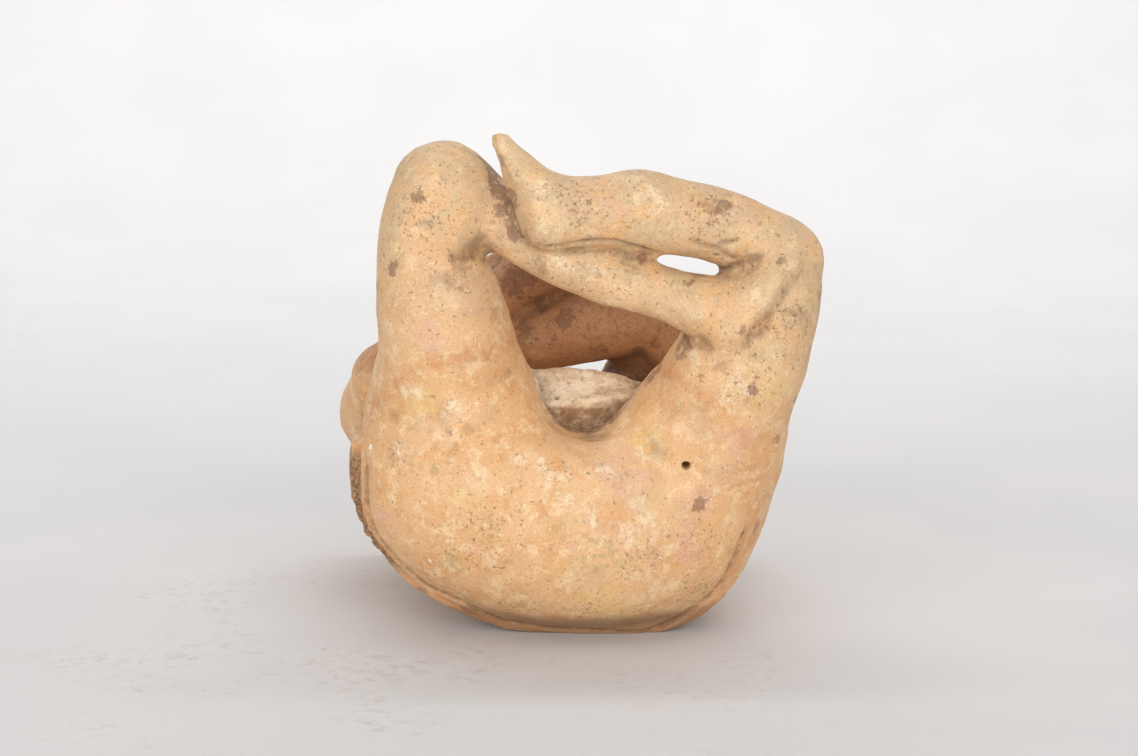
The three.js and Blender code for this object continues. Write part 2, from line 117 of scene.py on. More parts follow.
# Stains, and painted shade: the first six are the shade where the foot meets the knee, the last eight the
# shade on the forearms and in the hollow beside them
STAIN_AND_SHADE_PATCHES = [(490, 168, 8), (497, 190, 9), (506, 212, 9), (518, 232, 7), (503, 160, 5),
                 (512, 200, 8), (783, 262, 4), (420, 196, 5), (716, 214, 4), (726, 205, 4),
                 (701, 379, 3), (640, 258, 4), (448, 431, 3.5), (742, 330, 3), (690, 282, 3),
                 (795, 400, 4), (752, 388, 4), (700, 503, 5), (776, 440, 4), (392, 270, 5),
                 (520, 283, 11), (545, 302, 9), (525, 332, 9), (563, 318, 8), (640, 352, 6),
                 (684, 345, 8), (655, 372, 8), (600, 350, 5)]
SPECK_PATCHES = [(450, 590, 16), (520, 612, 15), (690, 600, 14), (600, 610, 15), (480, 540, 22),
                 (710, 215, 13), (420, 215, 13), (700, 540, 13), (640, 560, 12), (745, 395, 14),
                 (560, 470, 9), (400, 460, 8), (580, 200, 14), (790, 320, 12)]
SOIL_PATCHES = [(388, 560, 4), (420, 590, 5), (470, 612, 5), (660, 630, 5), (720, 600, 5), (520, 622, 5),
                (600, 636, 6), (560, 628, 4), (745, 572, 4), (757, 527, 4)]
WORN_PATCHES = [(610, 455, 13), (640, 490, 13), (680, 520, 12), (720, 470, 11), (700, 430, 10),
                (640, 560, 11), (560, 440, 9), (590, 580, 10), (530, 240, 9), (470, 300, 9)]
ARM_NICK = (488, 259, 10)
PIT_PIXELS = [(557, 397, 1.3), (547, 433, 0.8), (716, 256, 1.2), (610, 252, 1.0), (744, 250, 1.0)]

# Where the floor has its dust, in metres
DUST_PLACE = (-0.13, -0.2, 0.0)

# Lines on the photograph: the crease of the shins, the cracks beside the shin gap, a smear's edge
CREASE = [(541, 247), (556, 247), (575, 244), (595, 242), (615, 243), (635, 247), (653, 252)]
CRACKS = [[(694, 240), (705, 246), (716, 248), (729, 257), (741, 263)], [(716, 248), (722, 243), (736, 240)],
          [(729, 257), (748, 259), (760, 256)], [(722, 268), (733, 265), (741, 263)]]
SMEAR = [(606, 302), (620, 306), (633, 311), (646, 319)]
WHITE_SPECKS = [(371, 447, 1.8), (430, 561, 1.3), (399, 455, 1.0), (518, 479, 1.0), (448, 542, 1.0)]


def smoothstep(low, high, value):
    t = np.clip((value - low) / (high - low), 0, 1)
    return t * t * (3 - 2 * t)


def to_figure(points):
    """Row frame in metres to the figure's own upright frame in millimetres, z = 0 at its back."""
    p = np.asarray(points) / MM + np.array(FIGURE_SHIFT)
    c, s = math.cos(LEAN), math.sin(LEAN)
    return np.stack([p[..., 0] * c - p[..., 2] * s, p[..., 1], p[..., 0] * s + p[..., 2] * c], axis=-1)


def make_camera(low, high):
    seat = Vector((0, low[1], 0))
    target = seat + Vector(TARGET_FROM_SEAT)
    data = bpy.data.cameras.new("camera")
    data.sensor_width = SENSOR
    data.lens = CAMERA_DISTANCE / PIXEL_AT_TARGET / PHOTO_SIZE[0] * SENSOR
    data.clip_end = 50
    camera = bpy.data.objects.new("camera", data)
    away = Vector((0, -math.cos(CAMERA_ELEVATION), math.sin(CAMERA_ELEVATION)))
    camera.location = target + away * CAMERA_DISTANCE
    camera.rotation_euler = (-away).to_track_quat("-Z", "Y").to_euler()
    bpy.context.scene.collection.objects.link(camera)
    bpy.context.scene.camera = camera
    return camera


def pixel_direction(camera, px, py):
    focal = CAMERA_DISTANCE / PIXEL_AT_TARGET
    local = Vector(((px - PHOTO_SIZE[0] / 2) / focal, (PHOTO_SIZE[1] / 2 - py) / focal, -1))
    return (camera.rotation_euler.to_matrix() @ local).normalized()


class Surface:
    """The figure's vertices and triangles as numpy arrays, with what the relief needs."""

    def __init__(self, mesh):
        self.mesh = mesh
        count = len(mesh.vertices)
        self.points = np.empty(count * 3)
        mesh.vertices.foreach_get("co", self.points)
        self.points = self.points.reshape(-1, 3)
        edges = np.empty(len(mesh.edges) * 2, dtype=np.int64)
        mesh.edges.foreach_get("vertices", edges)
        self.edges = edges.reshape(-1, 2)
        ends = np.concatenate([self.edges[:, 0], self.edges[:, 1]])
        self.valence = np.maximum(np.bincount(ends, minlength=count), 1)

    def around(self, values):
        """The mean of each vertex's neighbours."""
        count = len(self.valence)
        a, b = self.edges.T
        columns = values.reshape(count, -1).T
        sums = [np.bincount(a, column[b], count) + np.bincount(b, column[a], count) for column in columns]
        return (np.array(sums) / self.valence).T.reshape(values.shape)

    def smooth(self, rounds, shrink=0.5, grow=-0.53):
        for _ in range(rounds):
            for step in (shrink, grow):
                self.points = self.points + step * (self.around(self.points) - self.points)

    def spread(self, values, rounds):
        for _ in range(rounds):
            values = 0.5 * values + 0.5 * self.around(values)
        return values

    def store(self):
        self.mesh.vertices.foreach_set("co", self.points.ravel())
        self.mesh.update()

    def normals(self):
        self.store()
        found = np.empty(len(self.mesh.vertices) * 3)
        self.mesh.vertices.foreach_get("normal", found)
        return found.reshape(-1, 3)

    def push(self, millimetres):
        self.points = self.points + self.normals() * (millimetres * MM)[:, None]


def fractal(points, size, octaves=3, seed=0.0):
    """Smooth noise between about -1 and 1 at each point, with bumps about size metres apart."""
    offset = Vector((seed, seed * 1.7, -seed))
    return np.array([noise.fractal(Vector(p) / size + offset, 0.6, 2.1, octaves) for p in points])


def fine_copy(node):
    """A closed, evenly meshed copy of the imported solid."""
    figure = bpy.data.objects.new("burnished_figure", node.data.copy())
    bpy.context.scene.collection.objects.link(figure)
    figure.data.materials.clear()
    work = bmesh.new()
    work.from_mesh(figure.data)
    bmesh.ops.remove_doubles(work, verts=work.verts, dist=1e-6)
    work.to_mesh(figure.data)
    work.free()
    remesh = figure.modifiers.new("even", "REMESH")
    remesh.mode = "VOXEL"
    remesh.voxel_size = VOXEL
    apply_modifiers(figure)
    return figure


def apply_modifiers(piece):
    bpy.context.view_layer.update()
    evaluated = piece.evaluated_get(bpy.context.evaluated_depsgraph_get())
    mesh = bpy.data.meshes.new_from_object(evaluated)
    piece.modifiers.clear()
    old = piece.data
    piece.data = mesh
    bpy.data.meshes.remove(old)


def refine(figure):
    """Splits the faces of the head, hem, shins and lap once, where the relief is finest."""
    work = bmesh.new()
    work.from_mesh(figure.data)
    f = to_figure([v.co for v in work.verts])
    head = (f[:, 1] > 226) & (f[:, 2] > 58)
    hem = (f[:, 1] < 58) & (f[:, 2] < 80) & (hem_place(f)[0] < 11)
    shins = (f[:, 1] < 24) & (f[:, 0] > -28) & (f[:, 0] < 66) & (np.abs(f[:, 2] - 188) < 9)
    wanted = head | hem | shins | (lap_mask(f) > 0)
    edges = [e for e in work.edges if wanted[e.verts[0].index] and wanted[e.verts[1].index]]
    bmesh.ops.subdivide_edges(work, edges=edges, cuts=1, use_grid_fill=True)
    bmesh.ops.triangulate(work, faces=[f for f in work.faces if len(f.verts) > 4])
    work.to_mesh(figure.data)
    work.free()


def hem_place(f):
    """How far a point lies inside the hem's outer edge, in millimetres, and its angle round it."""
    half, deep = 98.0, 73.0
    x, z = f[:, 0], f[:, 2] - 71
    power = np.where(x < 0, 2.05, 2.5)
    ring = (np.abs(x) / half) ** power + (np.abs(z) / deep) ** power
    return (1 - ring ** (1 / power)) * deep, np.arctan2(z, x)


def band(value, centre, width):
    return np.exp(-((value - centre) / width) ** 2)


def segment_distance(points, a, b):
    a, b = np.array(a, dtype=float), np.array(b, dtype=float)
    t = np.clip(((points - a) @ (b - a)) / ((b - a) @ (b - a)), 0, 1)
    return np.linalg.norm(points - (a + t[:, None] * (b - a)), axis=1)


def round_patch(points, places):
    """1 inside the given spheres, fading to 0 at their edges."""
    found = np.zeros(len(points))
    for centre, radius in places:
        if centre is not None:
            away = np.linalg.norm(points - centre, axis=1)
            found = np.maximum(found, 1 - smoothstep(0.35 * radius, 1.25 * radius, away))
    return found


def hem_lines(f):
    """The hem's groove, its finer outer line, and the broken strip on the left, each 0 to 1."""
    inside, angle = hem_place(f)
    on_front = (1 - smoothstep(48, 58, f[:, 1])) * (1 - smoothstep(66, 76, f[:, 2]))
    place = inside + 1.6 * smoothstep(20, 60, f[:, 0])
    place = place + 0.8 * np.sin(angle * 7 + 0.8) + 0.5 * np.sin(angle * 13)
    left = smoothstep(-48, -60, f[:, 0]) * smoothstep(12, 24, f[:, 2]) * on_front
    broken = left * (1 - smoothstep(3.4, 4.8, place))
    groove = on_front * band(place, 6.3, 1.1)
    line = on_front * band(place, 2.8, 0.8) * smoothstep(-0.3, 0.4, np.sin(angle * 9 + 1))
    return groove, line, broken


def hem_relief(f, crumbs):
    groove, line, broken = hem_lines(f)
    return -1.3 * groove - 0.5 * line + broken * (1.5 * crumbs - 1.6)


def wedge_relief(f):
    """Draws the lap's surface onto two flat faces, so that its ridge and rim are crisp."""
    x, y, z = f.T
    ridge = np.interp(x, LAP_STATIONS, LAP_RIDGE)
    rise = np.interp(x, LAP_STATIONS, LAP_RIM) - ridge
    upper = ((z - ridge) * 11 - (y - 50) * rise) / np.hypot(rise, 11)
    lower = (50 - y) * 0.94 - (z - ridge) * 0.34
    behind = (z - ridge - rise) * 0.9 + (y - 61) * 0.44
    off = np.maximum(np.maximum(upper, lower), behind)
    near = (1 - smoothstep(2.0, 3.6, np.abs(off))) * lap_mask(f) * (y < 72)
    hollow = 1.1 * band(upper, 0, 3) * smoothstep(1.5, 5, z - ridge) * smoothstep(1.5, 5, ridge + rise - z)
    return -near * (off + hollow)


def line_distance(points, places):
    """The distance in millimetres to the line through the places, where each is on the surface."""
    found = np.full(len(points), 1e3)
    for (a, _), (b, _) in zip(places, places[1:]):
        if a is not None and b is not None and np.linalg.norm(a - b) < 20 * MM:
            found = np.minimum(found, segment_distance(points, a, b) / MM)
    return found


def on_line(pixels_at, line):
    return pixels_at([(px, py, 1) for px, py in line])


def foot_relief(f):
    """The pinched edges of the two soles."""
    left_edge = segment_distance(f, (-53.5, 4, 230), (-32, -2, 187))
    right_edge = segment_distance(f, (84, -2, 201), (67, -4, 158))
    groove = segment_distance(f, (90, -3, 199), (75, -4, 160))
    edges = 1.2 * np.exp(-(left_edge / 2.4) ** 2) + 2.0 * np.exp(-(right_edge / 2.6) ** 2)
    return edges - 1.4 * np.exp(-(groove / 2.2) ** 2)


def hand_relief(f):
    """Three shallow cuts across each closed hand, between its fingers."""
    found = np.zeros(len(f))
    hands = [((0, 115, 184), (0.55, -0.1, 0.83), (0, 1, 0)), ((-55, 115, 110), (-0.87, 0, -0.5), (0, 1, 0))]
    for centre, along, across in hands:
        offset = f - np.array(centre)
        near = 1 - smoothstep(15, 20, np.linalg.norm(offset, axis=1))
        reach = smoothstep(-5, 0, offset @ np.array(along))
        side = offset @ np.array(across)
        cuts = sum(band(side, place, 1.1) for place in (-6.0, 0.0, 6.0))
        found -= 1.3 * cuts * near * reach
    return found


def face_relief(f):
    """A calm, plain face: almond lids, a straight nose, closed lips, and a line at the cap's edge."""
    front = smoothstep(62, 72, f[:, 2]) * smoothstep(224, 232, f[:, 1])
    x, y = np.abs(f[:, 0]), f[:, 1]
    lid_height = 3.2 * np.sqrt(np.clip(1 - ((x - 14) / 9.5) ** 2, 0, 1))
    in_eye = (x > 4.5) & (x < 23.5)
    upper = band(y, 259 + lid_height, 0.9) * in_eye
    lower = band(y, 259 - lid_height, 0.9) * in_eye
    middle = band(y, 258.4, 0.6) * (x > 6) * (x < 22)
    wing = np.exp(-(((x - 5.2) / 2.2) ** 2 + ((y - 250) / 2.6) ** 2))
    mouth = band(y, 239.3 + 0.03 * x, 0.8) * (1 - smoothstep(10, 12.5, x))
    lip = (band(y, 241.6, 1.3) + 1.1 * band(y, 236.8, 1.5)) * (1 - smoothstep(7, 11, x))
    cap_line = band(y, 270.5, 0.9)
    found = 0.7 * upper + 0.6 * lower - 0.5 * middle + 0.9 * wing - 1.4 * mouth + 0.6 * lip - 0.8 * cap_line
    return found * front


def cape_relief(f):
    """Shallow folds down the cape's back and a grooved line along its shoulder edge."""
    along = smoothstep(46, 60, f[:, 1]) * (1 - smoothstep(205, 218, f[:, 1]))
    back = (1 - smoothstep(20, 45, f[:, 2])) * along
    folds = 0.35 * np.sin(f[:, 0] / 11.0 + 0.6 * np.sin(f[:, 1] / 50))
    collar = -1.0 * band(f[:, 1], 211, 1.4) * (np.abs(f[:, 0]) < 60)
    return back * folds + collar * smoothstep(10, 30, f[:, 2])


def stole_place(f):
    """How far a point lies from the rolled cloth's middle, along it, and its angle round it."""
    line = np.array(STOLE_LINE, dtype=float)
    middle = np.stack([np.interp(-f[:, 1], -line[:, 1], line[:, axis]) for axis in (0, 1, 2)], axis=1)
    offset = f - middle
    return np.linalg.norm(offset[:, (0, 2)], axis=1), f[:, 1], np.arctan2(offset[:, 0], offset[:, 2])


def stole_relief(f):
    """Twisted folds along the rolled cloth on the chest."""
    away, along, angle = stole_place(f)
    near = (1 - smoothstep(20, 26, away)) * smoothstep(106, 116, along) * (1 - smoothstep(192, 204, along))
    near = near * (1 - smoothstep(1.6, 2.1, np.abs(angle)))
    return near * (0.9 * np.sin(5 * angle + along / 9) + 0.3 * np.sin(9 * angle - along / 5))


def lap_mask(f):
    """1 on the wedge of loincloth between the thighs."""
    offset = (f - np.array([8, 62, 112])) / np.array([42, 26, 24])
    return 1 - smoothstep(0.75, 1.05, np.linalg.norm(offset, axis=1))


def lap_low_mask(f):
    """1 on the lower face of that wedge, under its slanting ridge."""
    ridge = np.interp(f[:, 0], [-32, -4, 8, 20, 35], [104.5, 107.9, 110.5, 116.4, 120.6])
    return lap_mask(f) * (1 - smoothstep(-1.5, 1.0, f[:, 2] - ridge))


def lay_vent(surface, centre):
    """Levels the surface round the vent, so that the bore that is cut there has a clean edge."""
    away = np.linalg.norm(surface.points - centre, axis=1)
    ring = (away > 5 * MM) & (away < 8 * MM)
    middle = surface.points[ring].mean(axis=0)
    normal = np.linalg.svd(surface.points[ring] - middle)[2][2]
    near = 1 - smoothstep(4 * MM, 6.5 * MM, away)
    above = (surface.points - middle) @ normal
    surface.points = surface.points - (near * above)[:, None] * normal
    return middle, normal


def cut_vent(figure, middle, normal):
    cutter_mesh = bpy.data.meshes.new("vent_bore")
    work = bmesh.new()
    bmesh.ops.create_cone(work, cap_ends=True, segments=28, radius1=VENT_RADIUS, radius2=VENT_RADIUS * 1.05,
                          depth=2 * VENT_DEPTH)
    work.to_mesh(cutter_mesh)
    work.free()
    cutter = bpy.data.objects.new("vent_bore", cutter_mesh)
    bpy.context.scene.collection.objects.link(cutter)
    cutter.location = middle
    cutter.rotation_euler = Vector((0.0, 1.0, 0.0)).to_track_quat("Z", "Y").to_euler()
    cut = figure.modifiers.new("vent", "BOOLEAN")
    cut.operation = "DIFFERENCE"
    cut.solver = "MANIFOLD"
    cut.object = cutter
    apply_modifiers(figure)
    bpy.data.objects.remove(cutter)
    bpy.data.meshes.remove(cutter_mesh)


def model_relief(figure, pixels_at):
    surface = Surface(figure.data)
    surface.smooth(SMOOTH_ROUNDS)
    vent_middle, vent_normal = lay_vent(surface, pixels_at([(*VENT_PIXEL, 1)])[0][0])
    f = to_figure(surface.points)
    hollows = fractal(surface.points, 34 * MM, 2, 3.1)
    dimples = fractal(surface.points, 9 * MM, 3, 7.7)
    lap = lap_mask(f)
    crumbs = fractal(surface.points, 4.5 * MM, 3, 11.3)
    relief = 0.45 * hollows + 0.14 * dimples
    relief += hem_relief(f, crumbs) + foot_relief(f) + hand_relief(f) + face_relief(f) + cape_relief(f)
    relief += stole_relief(f)
    relief += lap * (0.35 * crumbs + 0.3 * dimples) + wedge_relief(f)
    crease = line_distance(surface.points, on_line(pixels_at, CREASE))
    relief -= CREASE_DEPTH * np.exp(-(crease / 1.5) ** 2)
    cracks = [line_distance(surface.points, on_line(pixels_at, line)) for line in CRACKS]
    relief -= CRACK_DEPTH * np.exp(-(np.min(cracks, axis=0) / 1.0) ** 2)
    smear = line_distance(surface.points, on_line(pixels_at, SMEAR))
    relief += SMEAR_HEIGHT * np.exp(-(smear / 1.4) ** 2)
    relief -= PIT_DEPTH * round_patch(surface.points, pixels_at(PIT_PIXELS))
    relief -= NICK_DEPTH * round_patch(surface.points, pixels_at([ARM_NICK])) * (f[:, 1] > 80)
    resting = 1 - smoothstep(0.2 * MM, 1.6 * MM, surface.points[:, 2])
    surface.push(relief * (1 - resting))
    surface.points[:, 2] = np.maximum(surface.points[:, 2], 0.0)
    surface.store()
    cut_vent(figure, vent_middle, vent_normal)


def store_mask(mesh, name, values):
    layer = mesh.attributes.new(name, "FLOAT", "POINT")
    layer.data.foreach_set("value", np.clip(values, 0, 1).astype(np.float32))


def paint_masks(figure, pixels_at):
    """Stores, as named vertex values, where each deposit, mark and painted shade lies."""
    surface = Surface(figure.data)
    points, mesh = surface.points, figure.data
    f = to_figure(points)
    bend = np.einsum("ij,ij->i", surface.around(points) - points, surface.normals())
    bend = surface.spread(bend, 3) / (0.1 * MM)
    wide = surface.spread(bend, 22)
    groove, line, broken = hem_lines(f)
    seatward = 1 - smoothstep(-0.1, 0.75, surface.spread(surface.normals()[:, 1], 6))
    # The inner faces behind the thighs, turned toward the seat: painted shade there, with more stain and
    # specks and less bloom
    behind = smoothstep(58, 96, f[:, 1]) * smoothstep(88, 104, f[:, 2]) * seatward
    # Painted shade in the hollow between the forearm, the chest and the rolled cloth
    shaded = np.linalg.norm((f - np.array([36, 124, 114])) / np.array([26, 30, 34]), axis=1)
    store_mask(mesh, "hollow_shade", (1 - smoothstep(0.5, 1.1, shaded)) * seatward)
    # Painted shade in the hollows, more in the broad ones
    store_mask(mesh, "cavity_shade", smoothstep(0.12, 1.0, bend) + 0.8 * smoothstep(0.05, 0.45, wide))
    store_mask(mesh, "edge", smoothstep(0.25, 1.3, -bend))
    store_mask(mesh, "seam", surface.spread(np.maximum(groove, 0.7 * line), 2))
    store_mask(mesh, "broken", broken)
    # The crease's dark line is painted shade; the cracks are darkened too
    lines = [line_distance(points, on_line(pixels_at, line)) for line in (CREASE, *CRACKS)]
    fine = 0.95 * np.exp(-(np.min(lines[1:], axis=0) / 1.2) ** 2)
    store_mask(mesh, "cracks", np.maximum(np.exp(-(lines[0] / 1.8) ** 2), fine))
    store_mask(mesh, "upper", smoothstep(110, 185, f[:, 2]))
    store_mask(mesh, "hem", band(hem_place(f)[0], 3.0, 3.0) * (1 - smoothstep(46, 60, f[:, 1])))
    # Painted shade on the lowest strip of the figure, next to the floor, at its seat end
    low = 1 - smoothstep(10 * MM, 17 * MM, points[:, 2])
    store_mask(mesh, "under", low * (1 - smoothstep(-100 * MM, -60 * MM, points[:, 1])))
    store_mask(mesh, "lap", lap_mask(f))
    store_mask(mesh, "lap_low", lap_low_mask(f))
    rim = np.interp(f[:, 0], LAP_STATIONS, LAP_RIM)
    store_mask(mesh, "lap_rim", lap_mask(f) * band(f[:, 2], rim - 1.0, 1.6))
    store_mask(mesh, "behind", behind * (1 - smoothstep(214, 226, f[:, 1])))
    places = {"yellow": YELLOW_PATCHES, "bloom": BLOOM_PATCHES, "pink": PINK_PATCHES, "film": FILM_PATCHES,
              "stain_and_shade": STAIN_AND_SHADE_PATCHES, "specks": SPECK_PATCHES, "soil_and_shade": SOIL_PATCHES,
              "worn": WORN_PATCHES, "pits": PIT_PIXELS, "white": WHITE_SPECKS}
    for name, pixels in places.items():
        store_mask(mesh, name, round_patch(points, pixels_at(pixels)))


# The clay's colours, as the eye sees them, 0 to 255, with the colours of the painted shade
COLOURS = {
    "slip": (224, 176, 125), "light slip": (230, 186, 138), "orange slip": (217, 158, 102),
    "pale slip": (240, 209, 165), "yellow": (229, 192, 128), "pink": (224, 174, 146),
    "dusty": (206, 178, 142), "worn": (214, 176, 142), "shaded": (188, 130, 88),
    "bloom": (242, 221, 188), "salt": (243, 224, 188), "film": (178, 156, 110), "stain_and_shade": (134, 96, 74),
    "speck": (136, 98, 68), "hollow shade": (78, 56, 42), "raw": (206, 176, 142), "pale raw": (230, 212, 186),
    "brown raw": (170, 130, 96), "lap underside": (150, 114, 82), "lap rim": (150, 112, 80),
    "hem": (214, 150, 100), "soil_and_shade": (118, 84, 58), "dark earth": (84, 64, 46),
    "light earth": (176, 128, 84), "shade near floor": (120, 84, 58), "deep": (84, 58, 42),
    "worn edge": (234, 200, 158), "white": (240, 232, 216), "grain": (232, 230, 226),
    "bright grain": (255, 255, 255),
}

class Nodes:
    """A short way to write a material's node tree."""

    def __init__(self, name):
        self.material = bpy.data.materials.new(name)
        self.material.use_nodes = True
        self.tree = self.material.node_tree
        self.tree.nodes.clear()
        self.coordinates = self.tree.nodes.new("ShaderNodeTexCoord").outputs["Object"]

    def link(self, source, socket):
        if isinstance(source, (int, float)):
            socket.default_value = source
        elif isinstance(source, tuple):
            socket.default_value = (*source, 1.0)
        else:
            self.tree.links.new(source, socket)

    def noise(self, size, detail=3.0, roughness=0.55, distortion=0.0, shift=0.0):
        """Noise about size millimetres across, between 0 and 1."""
        place = self.tree.nodes.new("ShaderNodeVectorMath")
        place.operation = "ADD"
        self.link(self.coordinates, place.inputs[0])
        place.inputs[1].default_value = (shift, shift * 0.7, -shift)
        node = self.tree.nodes.new("ShaderNodeTexNoise")
        node.inputs["Scale"].default_value = 1 / (size * MM)
        node.inputs["Detail"].default_value = detail
        node.inputs["Roughness"].default_value = roughness
        node.inputs["Distortion"].default_value = distortion
        self.link(place.outputs[0], node.inputs["Vector"])
        return node.outputs["Fac"]

    def mask(self, name):
        node = self.tree.nodes.new("ShaderNodeAttribute")
        node.attribute_name = name
        return node.outputs["Fac"]

    def step(self, value, low, high):
        """0 below low, 1 above high, smooth between."""
        node = self.tree.nodes.new("ShaderNodeMapRange")
        node.interpolation_type = "SMOOTHSTEP"
        self.link(value, node.inputs["Value"])
        self.link(low, node.inputs["From Min"])
        self.link(high, node.inputs["From Max"])
        return node.outputs["Result"]

    def math(self, operation, a, b=0.0, clamp=False):
        node = self.tree.nodes.new("ShaderNodeMath")
        node.operation = operation
        node.use_clamp = clamp
        self.link(a, node.inputs[0])
        self.link(b, node.inputs[1])
        return node.outputs[0]

    def patch(self, name, ragged, spread=4.5):
        """A stored patch with its round edge broken up by a noise."""
        mask = self.mask(name)
        uneven = self.math("MULTIPLY", self.math("SUBTRACT", ragged, 0.5), spread)
        return self.times(self.step(self.math("ADD", mask, uneven), 0.5, 0.95), self.step(mask, 0.02, 0.25))

    def times(self, *values):
        found = values[0]
        for value in values[1:]:
            found = self.math("MULTIPLY", found, value)
        return found

    def plus(self, *values):
        found = values[0]
        for value in values[1:]:
            found = self.math("ADD", found, value, clamp=True)
        return found

    def mix(self, amount, under, over, mode="MIX"):
        node = self.tree.nodes.new("ShaderNodeMix")
        node.data_type = "RGBA"
        node.blend_type = mode
        factor, first, second = (node.inputs[i] for i in (0, 6, 7))
        self.link(amount, factor)
        self.link(under, first)
        self.link(over, second)
        return node.outputs[2]


def srgb(red, green, blue):
    """A colour as the eye sees it, 0 to 255, as linear values."""
    values = (v / 255 for v in (red, green, blue))
    return tuple(v / 12.92 if v <= 0.04045 else ((v + 0.055) / 1.055) ** 2.4 for v in values)


def paint(name):
    return srgb(*COLOURS[name])


